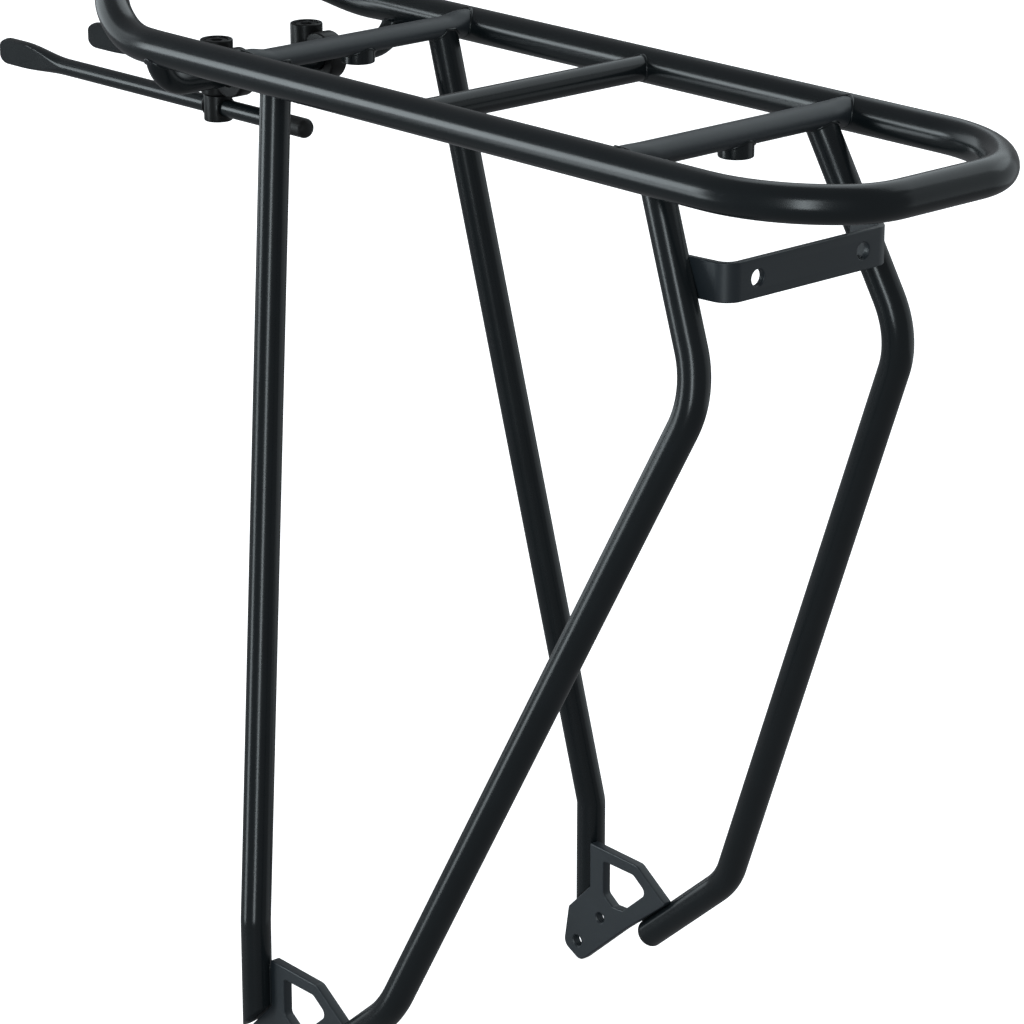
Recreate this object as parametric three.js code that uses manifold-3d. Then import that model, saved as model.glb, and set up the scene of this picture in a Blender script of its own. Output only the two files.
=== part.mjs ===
// Bicycle rear carrier: a closed top hoop with three crossbars on four splayed legs, two foot plates,
// a rear light bracket, and two adjustable stays clamped to a cross tube under the front of the hoop.
// Millimetres. +X is the bicycle's right side, +Y is forward, +Z is up.
import * as THREE from 'three';
import { mergeVertices } from 'three/addons/utils/BufferGeometryUtils.js';
import Module from 'manifold-3d';

const wasm = await Module();
wasm.setup();

// ---- driving dimensions -------------------------------------------------------------------------
const GAP = 0.3; // clearance between pieces that touch

const ORIGIN_Y = 33.95; // middle of the overall length, measured from the hoop's own datum
const ORIGIN_Z = -378.84; // lowest point of the foot plates below the hoop's centre plane

const RAIL_R = 6.5; // top hoop tube
const RAIL_X = 56.5; // rail centre line to the middle
const HOOP_REAR_Y = -202.4; // centre line of the rear bar of the hoop
const REAR_WIDE_RADIUS = 55; // each rear corner starts as a wide bend at the rail
const REAR_TIGHT_RADIUS = 29; // and tightens towards the rear bar
const REAR_WIDE_TURN = 0.88; // radians of the corner that the wide bend takes
const NOSE_START_Y = 129; // where the rails begin to close in
const NOSE_LENGTH = 73.5; // length of the closing arch, measured along the tube's plane
const NOSE_BEND_Y = 139.4; // where the arch begins to turn up
const NOSE_BEND_RADIUS = 59;
const NOSE_ANGLE = 0.3; // rise of the arch, radians

const BAR_CENTRE_Z = 1.2; // crossbars sit a little high, so their tops are near the rails' tops
const FRONT_BAR_Y = 84;
const REAR_BAR_Y = -111.2;
const BAR_HALF_WIDTH = 6.6; // pressed middle of the front and rear crossbars
const FRONT_BAR_HALF_HEIGHT = 3.8;
const REAR_BAR_HALF_HEIGHT = 4.2;
const REAR_BAR_LIFT = 0.5; // the less flattened rear bar stands this much higher
const BAR_END_HALF_WIDTH = 5.7; // rounder ends of the same bars
const BAR_END_HALF_HEIGHT = 5.1;
const BAR_END_LENGTH = 9; // stretch over which the section changes
const MIDDLE_BAR_Y = -12;
const MIDDLE_BAR_R = 4.65;

const BOSS_R = 6.2;
const BOSS_BOTTOM_Z = -5.9;
const BOSS_THREAD_R = 2.5;

const LEG_R = 5.65;
const FRONT_LEG_TOP = [39.75, 82.6, 1.2];
const FRONT_LEG_BEND = [85.5, 47.4, -311.5];
const FRONT_LEG_BEND_RADIUS = 14;
const FRONT_LEG_FOOT_Z = -362; // before the mitre
const REAR_LEG_TOP = [39.65, -111.0, 1.2];
const REAR_LEG_KNEE = [48.9, -145.2, -71.2];
const REAR_LEG_KNEE_RADIUS = 32;
const REAR_LEG_HEEL = [85.5, -29.35, -321.2];
const REAR_LEG_HEEL_RADIUS = 36;
const REAR_LEG_TAIL = 54.8; // straight tail after the heel bend's corner
const REAR_LEG_TAIL_DIR = [0, 0.7594, -0.6506];
const PLUG_LENGTH = 3.3;

const PLATE_INNER_X = 79.6;
const PLATE_THICKNESS = 4;
const PLATE_OUTLINE = [ // forward, up, corner radius
  [41.7, -326.4, 0.4], [15.0, -327.7, 4], [-0.4, -338.5, 0.4], [22.3, -357.8, 0.4],
  [47.1, -379.5, 4], [56.8, -374.6, 4], [54.1, -357.6, 1.5], [41.7, -345.2, 0.4],
];
const PLATE_WINDOW = [
  [33.9, -331.9, 1.2], [17.2, -332.4, 3], [9.6, -338.0, 2.5], [22.9, -349.6, 1.5], [28.6, -349.8, 1.5],
  [33.9, -346.0, 2],
];
const EYELET_HOLE = [49.0, -371.2, 3.0]; // forward, up, radius
const UPPER_HOLE = [35.8, -356.9, 2.55];
const MITRE_POINT = [41.9, -344.8]; // the front leg's foot is cut at 45 degrees through this point

const BRACKET_REAR_Y = -147.1;
const BRACKET_FRONT_Y = -129;
const BRACKET_HALF_WIDTH = 39.6;
const BRACKET_SPLAY = 1.4; // each ear leans outward by this much at its front end
const BRACKET_THICKNESS = 2.6;
const BRACKET_HEIGHT = 13.6;
const BRACKET_CENTRE_Z = -36;
const BRACKET_BEND_RADIUS = 7;
const LIGHT_HOLE_X = 25; // light bolts stand 50 mm apart
const LIGHT_HOLE_R = 2.9;

const CROSS_TUBE_R = 4.6;
const CROSS_TUBE_X = 57.5;
const CROSS_TUBE_Y = 129.5;
const CROSS_TUBE_Z = -14.1;
const CROSS_TUBE_BEND_RADIUS = 12.5;

const CLAMP_X = 21.75;
const CLAMP_RING_R = 9.1;
const CLAMP_RING_LENGTH = 7.6;
const CLAMP_POST_FORWARD = 10.5; // post axis ahead of the cross tube's axis
const CLAMP_POST_R = 6.2;
const CLAMP_POST_TOP_Z = 11.2; // all clamp heights are measured from the cross tube's axis
const CLAMP_POST_BOTTOM_Z = -9.4;
const CLAMP_BORE_R = 3.2;
const CLAMP_RECESS_R = 4.7;
const CLAMP_RECESS_DEPTH = 3.4;
const CLAMP_REST_TILT = -0.009; // the stays fall very slightly towards the front

const SCREW_HEAD_R = 4.2;
const SCREW_HEAD_HEIGHT = 2.6;
const SCREW_SHANK_R = 2.5;
const SCREW_BOTTOM_Z = -1.5;
const SCREW_SOCKET_R = 2.3;
const SCREW_SOCKET_DEPTH = 1.6;

const EYE_R = 5.4;
const EYE_BOTTOM_Z = -19.8;
const EYE_STUD_R = 2.8;
const EYE_STUD_TOP_Z = -2.2;
const STAY_Z = -14.5; // stay axis below the cross tube's axis

const STAY_R = 3.3;
const STAY_CAP_START_Y = 102; // rear cap's open end, measured from the hoop's datum
const STAY_END_Y = 86.5;
const STAY_TIP_Y = 276.9;
const STAY_TAPER_Y = 234;
const STAY_PADDLE_Y = 263;
const PADDLE_HALF_HEIGHT = 5.3;
const PADDLE_RISE = 0.6; // the flattened front stands a little above the rod's axis
const PADDLE_HALF_THICKNESS = 1.9;
const STAY_CAP_R = 3.7;
const STAY_SPIGOT_R = 2.3;
const STAY_SPIGOT_LENGTH = 9;

const TUBE_SIDES = 16;
const SMALL_TUBE_SIDES = 16;
const BAR_SIDES = 20;
const BOSS_SIDES = 24;
const THREAD_SIDES = 12;
const HOLE_SIDES = 20;
const CLAMP_SIDES = 28;
const SCREW_SIDES = 24;
const SHANK_SIDES = 16;
const HEX_SIDES = 6;
const NOSE_STEPS = 14; // straight facets of half the front arch
const TANGENT_NUDGE = 1e-4; // turn over which the arch's direction is measured
const BAR_MARKS = [0, 6, 9, 12, 15]; // distances from a pressed bar's end where its section is set
const BAR_PRESS_START = 6;
const MITRE_BLOCK_SIZE = 60;
const OVERRUN = 1; // how far a hole's tool runs past the material
const CLAMP_BORE_OVERRUN = 2;
const SEAT_OVERLAP = 0.5; // how far a shank or stud runs into its head
const TAPER_MARKS = [7, 14.5, 22]; // distances along a stay's taper where its section is set
const TIP_MARKS = [5, 3.2, 1.4, 0.4, 0]; // and distances back from its tip
const PADDLE_WIDEN = 1.4; // spread of the rod's section before its sides are pressed flat
const TIP_ROUND_LENGTH = 5;
const TIP_ROUND_REACH = 5.2;
const TIP_HEIGHT_SHARE = 0.35; // height left at the very tip
const SPIGOT_SHOULDER = 0.01;

// ---- materials ----------------------------------------------------------------------------------
const powderCoat = { color: 0x1e2022, roughness: 0.32, metalness: 0.0 };
const plateCoat = { color: 0x30343a, roughness: 0.5, metalness: 0.0 };
const clampCoat = { color: 0x1a1b1d, roughness: 0.55, metalness: 0.0 };
const steel = { color: 0x2a2b2e, roughness: 0.35, metalness: 0.6 };
const rubber = { color: 0x1b1b1c, roughness: 0.75, metalness: 0.0 };

function part(name, geometry, look, position = [0, 0, 0]) {
  const mesh = new THREE.Mesh(geometry, new THREE.MeshStandardMaterial(look));
  mesh.name = name;
  mesh.position.set(...position);
  return mesh;
}

// ---- solids -------------------------------------------------------------------------------------
function toSolid(geometry) {
  const bare = geometry.clone();
  bare.deleteAttribute('normal');
  bare.deleteAttribute('uv');
  const merged = mergeVertices(bare, 1e-4);
  const mesh = new wasm.Mesh({
    numProp: 3,
    vertProperties: new Float32Array(merged.attributes.position.array),
    triVerts: new Uint32Array(merged.index.array),
  });
  return new wasm.Manifold(mesh);
}

function toGeometry(solid) {
  const mesh = solid.getMesh();
  const geometry = new THREE.BufferGeometry();
  geometry.setAttribute('position', new THREE.BufferAttribute(new Float32Array(mesh.vertProperties), 3));
  geometry.setIndex(new THREE.BufferAttribute(new Uint32Array(mesh.triVerts), 1));
  geometry.computeVertexNormals();
  return geometry;
}

function cut(geometry, ...tools) {
  const solid = tools.reduce((rest, tool) => rest.subtract(toSolid(tool)), toSolid(geometry));
  return toGeometry(solid);
}

function join(...geometries) {
  const solids = geometries.map(toSolid);
  return toGeometry(solids.reduce((whole, solid) => whole.add(solid)));
}

function mirrored(geometry) {
  return toGeometry(toSolid(geometry).mirror([1, 0, 0]));
}

// ---- tubes along a route ------------------------------------------------------------------------
// A route that passes through given stations exactly, so straight runs need no extra sections.
class Route extends THREE.Curve {
  constructor(points, tangents) {
    super();
    this.points = points;
    this.tangents = tangents;
  }

  blend(list, u, target) {
    const place = u * (list.length - 1);
    const i = Math.min(Math.floor(place + 1e-9), list.length - 2);
    return target.copy(list[i]).lerp(list[i + 1], place - i);
  }

  getPoint(u, target = new THREE.Vector3()) {
    return this.blend(this.points, u, target);
  }

  getPointAt(u, target = new THREE.Vector3()) {
    return this.blend(this.points, u, target);
  }

  getTangentAt(u, target = new THREE.Vector3()) {
    return this.blend(this.tangents, u, target).normalize();
  }
}

// Straight legs joined by round bends: corners[i] is turned with radii[i - 1].
function bentRoute(corners, radii, bendSteps) {
  const vectors = corners.map((c) => new THREE.Vector3(...c));
  const points = [];
  const tangents = [];
  const first = vectors[1].clone().sub(vectors[0]).normalize();
  points.push(vectors[0]);
  tangents.push(first);
  for (let i = 1; i < vectors.length - 1; i++) {
    const into = vectors[i].clone().sub(vectors[i - 1]).normalize();
    const out = vectors[i + 1].clone().sub(vectors[i]).normalize();
    const turn = into.angleTo(out);
    const reach = radii[i - 1] * Math.tan(turn / 2);
    const side = out.clone().sub(into.clone().multiplyScalar(into.dot(out))).normalize();
    const start = vectors[i].clone().addScaledVector(into, -reach);
    const centre = start.clone().addScaledVector(side, radii[i - 1]);
    for (let k = 0; k <= bendSteps; k++) {
      const angle = (turn * k) / bendSteps;
      const along = into.clone().multiplyScalar(Math.cos(angle)).addScaledVector(side, Math.sin(angle));
      const spoke = into.clone().multiplyScalar(Math.sin(angle)).addScaledVector(side, -Math.cos(angle));
      points.push(centre.clone().addScaledVector(spoke, radii[i - 1]));
      tangents.push(along);
    }
  }
  const last = vectors.length - 1;
  points.push(vectors[last]);
  tangents.push(vectors[last].clone().sub(vectors[last - 1]).normalize());
  return new Route(points, tangents);
}

function circle(radius, sides) {
  const shape = new THREE.Shape();
  for (let i = 0; i < sides; i++) {
    const angle = ((i + 0.5) / sides) * 2 * Math.PI;
    const x = radius * Math.cos(angle);
    const y = radius * Math.sin(angle);
    if (i === 0) shape.moveTo(x, y);
    else shape.lineTo(x, y);
  }
  shape.closePath();
  return shape;
}

function tube(route, radius, sides) {
  const steps = route.points.length - 1;
  return new THREE.ExtrudeGeometry(circle(radius, sides), { steps, extrudePath: route, bevelEnabled: false });
}

// ---- small building blocks ----------------------------------------------------------------------
function cylinderAlong(axis, radius, from, to, centre, sides) {
  const geometry = new THREE.CylinderGeometry(radius, radius, Math.abs(to - from), sides);
  const middle = (from + to) / 2;
  if (axis === 'x') {
    geometry.rotateZ(Math.PI / 2);
    geometry.translate(middle, centre[0], centre[1]);
  } else if (axis === 'y') {
    geometry.translate(centre[0], middle, centre[1]);
  } else {
    geometry.rotateX(Math.PI / 2);
    geometry.translate(centre[0], centre[1], middle);
  }
  return geometry;
}

// Round-cornered outline through a list of [x, y, corner radius].
function roundedOutline(target, corners, cornerSteps) {
  const count = corners.length;
  for (let i = 0; i < count; i++) {
    const here = new THREE.Vector2(corners[i][0], corners[i][1]);
    const before = new THREE.Vector2(corners[(i + count - 1) % count][0], corners[(i + count - 1) % count][1]);
    const after = new THREE.Vector2(corners[(i + 1) % count][0], corners[(i + 1) % count][1]);
    const a = before.clone().sub(here).normalize();
    const b = after.clone().sub(here).normalize();
    const half = Math.acos(THREE.MathUtils.clamp(a.dot(b), -1, 1)) / 2;
    const reach = corners[i][2] / Math.tan(half);
    const start = here.clone().addScaledVector(a, reach);
    const end = here.clone().addScaledVector(b, reach);
    for (let k = 0; k <= cornerSteps; k++) {
      const t = k / cornerSteps;
      const x = (1 - t) * (1 - t) * start.x + 2 * t * (1 - t) * here.x + t * t * end.x;
      const y = (1 - t) * (1 - t) * start.y + 2 * t * (1 - t) * here.y + t * t * end.y;
      if (i === 0 && k === 0) target.moveTo(x, y);
      else target.lineTo(x, y);
    }
  }
  target.closePath();
  return target;
}

// A bar whose section changes along its length: section(station, cos, sin) gives [x, y, z].
function shapedBar(stations, sides, section) {
  const geometry = new THREE.CylinderGeometry(1, 1, 1, sides, stations.length - 1);
  const position = geometry.attributes.position;
  for (let i = 0; i < position.count; i++) {
    const c = position.getX(i);
    const s = position.getZ(i);
    const row = Math.round((0.5 - position.getY(i)) * (stations.length - 1));
    position.setXYZ(i, ...section(stations[row], c, s));
  }
  return geometry;
}

// ---- the hoop -----------------------------------------------------------------------------------
// Point of the closing arch at a distance along the tube's plane, given how far it is from the middle.
function nosePoint(x, distance) {
  const arc = NOSE_BEND_RADIUS * NOSE_ANGLE;
  const past = distance - NOSE_BEND_Y;
  if (past <= 0) return new THREE.Vector3(x, distance, 0);
  const angle = Math.min(past / NOSE_BEND_RADIUS, NOSE_ANGLE);
  const rest = Math.max(past - arc, 0);
  const y = NOSE_BEND_Y + NOSE_BEND_RADIUS * Math.sin(angle) + rest * Math.cos(angle);
  const z = NOSE_BEND_RADIUS * (1 - Math.cos(angle)) + rest * Math.sin(angle);
  return new THREE.Vector3(x, y, z);
}

function hoopHalfRoute() {
  const wide = REAR_WIDE_TURN;
  const reach = (REAR_WIDE_RADIUS - REAR_TIGHT_RADIUS) * (1 - Math.cos(wide));
  const tightX = RAIL_X - reach - REAR_TIGHT_RADIUS;
  const tightY = HOOP_REAR_Y + REAR_TIGHT_RADIUS;
  const wideX = RAIL_X - REAR_WIDE_RADIUS;
  const wideY = tightY + (REAR_WIDE_RADIUS - REAR_TIGHT_RADIUS) * Math.sin(wide);
  const points = [new THREE.Vector3(0, HOOP_REAR_Y, 0)];
  const tangents = [new THREE.Vector3(1, 0, 0)];
  const turn = (x, y, radius, from, to, steps) => {
    for (let k = points.length > 1 ? 1 : 0; k <= steps; k++) {
      const a = from + ((to - from) * k) / steps;
      points.push(new THREE.Vector3(x + radius * Math.sin(a), y - radius * Math.cos(a), 0));
      tangents.push(new THREE.Vector3(Math.cos(a), Math.sin(a), 0));
    }
  };
  turn(tightX, tightY, REAR_TIGHT_RADIUS, 0, Math.PI / 2 - wide, 5);
  turn(wideX, wideY, REAR_WIDE_RADIUS, Math.PI / 2 - wide, Math.PI / 2, 6);
  points.push(new THREE.Vector3(RAIL_X, NOSE_START_Y, 0));
  tangents.push(new THREE.Vector3(0, 1, 0));
  for (let k = 1; k <= NOSE_STEPS; k++) {
    const angle = (k / NOSE_STEPS) * (Math.PI / 2);
    const place = (a) => nosePoint(RAIL_X * Math.cos(a), NOSE_START_Y + NOSE_LENGTH * Math.sin(a));
    points.push(place(angle));
    tangents.push(place(angle + TANGENT_NUDGE).sub(place(angle - TANGENT_NUDGE)).normalize());
  }
  points[points.length - 1].x = 0;
  tangents[tangents.length - 1].set(-1, 0, 0);
  return new Route(points, tangents);
}

function hoopSolid(radius) {
  const half = tube(hoopHalfRoute(), radius, TUBE_SIDES);
  return join(half, mirrored(half));
}

// ---- crossbars ----------------------------------------------------------------------------------
function pressedBar(y, halfHeightInside, lift, grow) {
  const end = RAIL_X - 1;
  const half = BAR_MARKS.map((mark) => mark - end);
  const stations = [...half, ...half.map((x) => -x).reverse()];
  return shapedBar(stations, BAR_SIDES, (x, c, s) => {
    const inside = THREE.MathUtils.smoothstep(
      end - Math.abs(x), BAR_PRESS_START, BAR_PRESS_START + BAR_END_LENGTH);
    const halfWidth = THREE.MathUtils.lerp(BAR_END_HALF_WIDTH, BAR_HALF_WIDTH, inside) + grow;
    const halfHeight = THREE.MathUtils.lerp(BAR_END_HALF_HEIGHT, halfHeightInside, inside) + grow;
    return [x, y - s * halfWidth, BAR_CENTRE_Z + lift * inside + c * halfHeight];
  });
}

function frontBar(grow) {
  return pressedBar(FRONT_BAR_Y, FRONT_BAR_HALF_HEIGHT, 0, grow);
}

function rearBar(grow) {
  return pressedBar(REAR_BAR_Y, REAR_BAR_HALF_HEIGHT, REAR_BAR_LIFT, grow);
}

function coped(bar) {
  return cut(bar, hoopSolid(RAIL_R + GAP));
}

function middleBar() {
  const end = RAIL_X - 1;
  return cylinderAlong('x', MIDDLE_BAR_R, -end, end, [MIDDLE_BAR_Y, 0], TUBE_SIDES);
}

function boss(y, bar) {
  const body = cylinderAlong('z', BOSS_R, BOSS_BOTTOM_Z, BAR_CENTRE_Z, [0, y], BOSS_SIDES);
  const thread = cylinderAlong(
    'z', BOSS_THREAD_R, BOSS_BOTTOM_Z - OVERRUN, BAR_CENTRE_Z + OVERRUN, [0, y], THREAD_SIDES);
  return cut(body, bar, thread);
}

// ---- legs ---------------------------------------------------------------------------------------
function frontLegTube(radius) {
  const [x, y] = FRONT_LEG_BEND;
  const route = bentRoute([FRONT_LEG_TOP, FRONT_LEG_BEND, [x, y, FRONT_LEG_FOOT_Z]], [FRONT_LEG_BEND_RADIUS], 4);
  return tube(route, radius, TUBE_SIDES);
}

function rearLegEnd(tail) {
  return REAR_LEG_HEEL.map((v, i) => v + tail * REAR_LEG_TAIL_DIR[i]);
}

function rearLegTube(radius) {
  const corners = [REAR_LEG_TOP, REAR_LEG_KNEE, REAR_LEG_HEEL, rearLegEnd(REAR_LEG_TAIL)];
  return tube(bentRoute(corners, [REAR_LEG_KNEE_RADIUS, REAR_LEG_HEEL_RADIUS], 7), radius, TUBE_SIDES);
}

// A block whose upper face lies at 45 degrees, so it trims the leg's foot.
function mitreBlock() {
  const block = new THREE.BoxGeometry(MITRE_BLOCK_SIZE, MITRE_BLOCK_SIZE, MITRE_BLOCK_SIZE);
  block.translate(0, 0, -MITRE_BLOCK_SIZE / 2);
  block.rotateX(-Math.PI / 4);
  block.translate(FRONT_LEG_BEND[0], MITRE_POINT[0], MITRE_POINT[1]);
  return block;
}

function frontLeg() {
  return cut(frontLegTube(LEG_R), frontBar(GAP), mitreBlock());
}

function rearLeg() {
  return cut(rearLegTube(LEG_R), rearBar(GAP));
}

// Domed plug that closes the end of a rear leg; its axis is +Y before it is turned.
function legPlug() {
  const profile = [[0, 0], [LEG_R, 0], [LEG_R, 1.0], [LEG_R * 0.9, 2.3], [LEG_R * 0.62, 3.2], [0, PLUG_LENGTH]];
  return new THREE.LatheGeometry(profile.map(([r, h]) => new THREE.Vector2(r, h)), TUBE_SIDES);
}

function placePlug(mesh) {
  const direction = new THREE.Vector3(...REAR_LEG_TAIL_DIR);
  const end = new THREE.Vector3(...rearLegEnd(REAR_LEG_TAIL + GAP));
  mesh.quaternion.setFromUnitVectors(new THREE.Vector3(0, 1, 0), direction);
  mesh.position.copy(end);
  return mesh;
}

// ---- foot plate ---------------------------------------------------------------------------------
function hole(forward, up, radius) {
  const outer = PLATE_INNER_X + PLATE_THICKNESS;
  return cylinderAlong('x', radius, PLATE_INNER_X - OVERRUN, outer + OVERRUN, [forward, up], HOLE_SIDES);
}

function footPlate() {
  const outline = roundedOutline(new THREE.Shape(), PLATE_OUTLINE, 4);
  outline.holes.push(roundedOutline(new THREE.Path(), PLATE_WINDOW, 4));
  const plate = new THREE.ExtrudeGeometry(outline, { depth: PLATE_THICKNESS, bevelEnabled: false });
  plate.rotateX(Math.PI / 2);
  plate.rotateZ(Math.PI / 2);
  plate.translate(PLATE_INNER_X, 0, 0);
  return cut(plate, hole(...EYELET_HOLE), hole(...UPPER_HOLE));
}

// ---- rear light bracket -------------------------------------------------------------------------
function bracketStrip(halfWidth, rearY, bendRadius, frontX, frontY) {
  const corner = halfWidth - bendRadius;
  const sideStart = rearY + bendRadius;
  const right = [];
  const steps = 6;
  for (let k = 0; k <= steps; k++) {
    const angle = (k / steps) * (Math.PI / 2);
    right.push([corner + bendRadius * Math.sin(angle), sideStart - bendRadius * Math.cos(angle)]);
  }
  right.push([frontX, frontY]);
  return right;
}

function lightBracket() {
  const w = BRACKET_HALF_WIDTH;
  const t = BRACKET_THICKNESS;
  const r = BRACKET_BEND_RADIUS;
  const frontX = w + BRACKET_SPLAY;
  const outer = bracketStrip(w, BRACKET_REAR_Y, r, frontX, BRACKET_FRONT_Y);
  const inner = bracketStrip(w - t, BRACKET_REAR_Y + t, r - t, frontX - t, BRACKET_FRONT_Y);
  const left = (side) => side.map(([x, y]) => [-x, y]);
  const loop = [...outer, ...inner.reverse(), ...left(inner.slice().reverse()), ...left(outer).reverse()];
  const strip = new THREE.Shape(loop.map(([x, y]) => new THREE.Vector2(x, y)));
  const body = new THREE.ExtrudeGeometry(strip, { depth: BRACKET_HEIGHT, bevelEnabled: false });
  body.translate(0, 0, BRACKET_CENTRE_Z - BRACKET_HEIGHT / 2);
  const bolts = [-LIGHT_HOLE_X, LIGHT_HOLE_X].map((x) => (
    cylinderAlong(
      'y', LIGHT_HOLE_R, BRACKET_REAR_Y - OVERRUN, BRACKET_REAR_Y + t + OVERRUN, [x, BRACKET_CENTRE_Z],
      HOLE_SIDES)));
  const leg = rearLegTube(LEG_R + GAP);
  return cut(body, ...bolts, leg, mirrored(leg));
}

// ---- cross tube for the stays -------------------------------------------------------------------
function crossTube(radius) {
  const x = CROSS_TUBE_X;
  const y = CROSS_TUBE_Y;
  const r = CROSS_TUBE_BEND_RADIUS;
  const corners = [[-x, y, 0], [-x, y, CROSS_TUBE_Z], [x, y, CROSS_TUBE_Z], [x, y, 0]];
  return tube(bentRoute(corners, [r, r], 6), radius, SMALL_TUBE_SIDES);
}

function stayTube() {
  return cut(crossTube(CROSS_TUBE_R), hoopSolid(RAIL_R + GAP));
}

// ---- clamp, drawn round the cross tube's axis with its post ahead of it ---------------------------
function clampBody() {
  const half = CLAMP_RING_LENGTH / 2;
  const post = [0, CLAMP_POST_FORWARD];
  const ring = cylinderAlong('x', CLAMP_RING_R, -half, half, [0, 0], CLAMP_SIDES);
  const column = cylinderAlong('z', CLAMP_POST_R, CLAMP_POST_BOTTOM_Z, CLAMP_POST_TOP_Z, post, CLAMP_SIDES);
  const recessFloor = CLAMP_POST_TOP_Z - CLAMP_RECESS_DEPTH;
  const recess = cylinderAlong(
    'z', CLAMP_RECESS_R, recessFloor, CLAMP_POST_TOP_Z + OVERRUN, post, SCREW_SIDES);
  const bore = cylinderAlong(
    'z', CLAMP_BORE_R, CLAMP_POST_BOTTOM_Z - OVERRUN, recessFloor + OVERRUN, post, SHANK_SIDES);
  const reach = CLAMP_POST_R + CLAMP_BORE_OVERRUN;
  const tubeBore = cylinderAlong('x', CROSS_TUBE_R + GAP, -reach, reach, [0, 0], CLAMP_SIDES);
  return cut(join(ring, column), recess, bore, tubeBore);
}

function clampScrew() {
  const post = [0, CLAMP_POST_FORWARD];
  const seat = CLAMP_POST_TOP_Z - CLAMP_RECESS_DEPTH + GAP;
  const top = seat + SCREW_HEAD_HEIGHT;
  const head = cylinderAlong('z', SCREW_HEAD_R, seat, top, post, SCREW_SIDES);
  const shank = cylinderAlong('z', SCREW_SHANK_R, SCREW_BOTTOM_Z, seat + SEAT_OVERLAP, post, SHANK_SIDES);
  const socket = cylinderAlong('z', SCREW_SOCKET_R, top - SCREW_SOCKET_DEPTH, top + OVERRUN, post, HEX_SIDES);
  return cut(join(head, shank), socket);
}

function stayEye() {
  const post = [0, CLAMP_POST_FORWARD];
  const top = CLAMP_POST_BOTTOM_Z - GAP;
  const barrel = cylinderAlong('z', EYE_R, EYE_BOTTOM_Z, top, post, CLAMP_SIDES);
  const stud = cylinderAlong('z', EYE_STUD_R, top - SEAT_OVERLAP, EYE_STUD_TOP_Z, post, SHANK_SIDES);
  const reach = EYE_R + OVERRUN;
  const bore = cylinderAlong(
    'y', STAY_R + GAP, CLAMP_POST_FORWARD - reach, CLAMP_POST_FORWARD + reach, [0, STAY_Z], HOLE_SIDES);
  return cut(join(barrel, stud), bore);
}

// Stay: round rod pressed flat at the front, with a thin spigot for its rear cap.
function stay() {
  const base = CROSS_TUBE_Y;
  const cap = STAY_CAP_START_Y - base;
  const taper = STAY_TAPER_Y - base;
  const paddle = STAY_PADDLE_Y - base;
  const tip = STAY_TIP_Y - base;
  const spigot = cap - STAY_SPIGOT_LENGTH;
  const tapering = TAPER_MARKS.map((mark) => taper + mark);
  const ending = TIP_MARKS.map((mark) => tip - mark);
  const rod = [cap, taper, ...tapering, paddle, ...ending];
  const rows = [
    [spigot, STAY_SPIGOT_R], [cap - SPIGOT_SHOULDER, STAY_SPIGOT_R], ...rod.map((y) => [y, STAY_R]),
  ];
  return shapedBar(rows, BAR_SIDES, ([y, radius], c, s) => {
    const press = THREE.MathUtils.smoothstep(y, taper, paddle);
    const wide = radius * THREE.MathUtils.lerp(1, PADDLE_WIDEN, press);
    const limit = THREE.MathUtils.lerp(radius, PADDLE_HALF_THICKNESS, press);
    const past = Math.min(Math.max((y - tip + TIP_ROUND_LENGTH) / TIP_ROUND_REACH, 0), 1);
    const share = TIP_HEIGHT_SHARE + (1 - TIP_HEIGHT_SHARE) * Math.sqrt(1 - past ** 2);
    const tall = THREE.MathUtils.lerp(radius, PADDLE_HALF_HEIGHT, press) * share;
    return [THREE.MathUtils.clamp(wide * c, -limit, limit), y, STAY_Z + PADDLE_RISE * press - s * tall];
  });
}

function stayCap() {
  const open = STAY_CAP_START_Y - GAP;
  const end = STAY_END_Y;
  const bottom = STAY_CAP_START_Y - STAY_SPIGOT_LENGTH - 1;
  const inner = STAY_SPIGOT_R + GAP;
  const outer = STAY_CAP_R;
  const profile = [
    [0, bottom], [inner, bottom], [inner, open], [outer - 0.4, open], [outer, open - 0.5], [outer, end + 2.6],
    [outer * 0.93, end + 1.4], [outer * 0.74, end + 0.5], [outer * 0.42, end + 0.1], [0, end],
  ];
  const points = profile.map(([r, y]) => new THREE.Vector2(r, y - CROSS_TUBE_Y)).reverse();
  const cap = new THREE.LatheGeometry(points, BAR_SIDES);
  cap.translate(0, 0, STAY_Z);
  return cap;
}

// One clamp with its stay, hung on the cross tube's axis.
function stayAssembly(side, x) {
  const assembly = new THREE.Group();
  assembly.position.set(x, CROSS_TUBE_Y, CROSS_TUBE_Z);
  assembly.rotation.x = CLAMP_REST_TILT;
  assembly.add(
    part(`clamp_body_${side}`, clampBody(), clampCoat),
    part(`clamp_screw_${side}`, clampScrew(), steel),
    part(`stay_eye_${side}`, stayEye(), clampCoat),
    part(`stay_${side}`, stay(), powderCoat),
    part(`stay_cap_${side}`, stayCap(), rubber),
  );
  return assembly;
}

// ---- whole carrier ------------------------------------------------------------------------------
const group = new THREE.Group();
const carrier = new THREE.Group();
carrier.position.set(0, -ORIGIN_Y, -ORIGIN_Z);
group.add(carrier);

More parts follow.
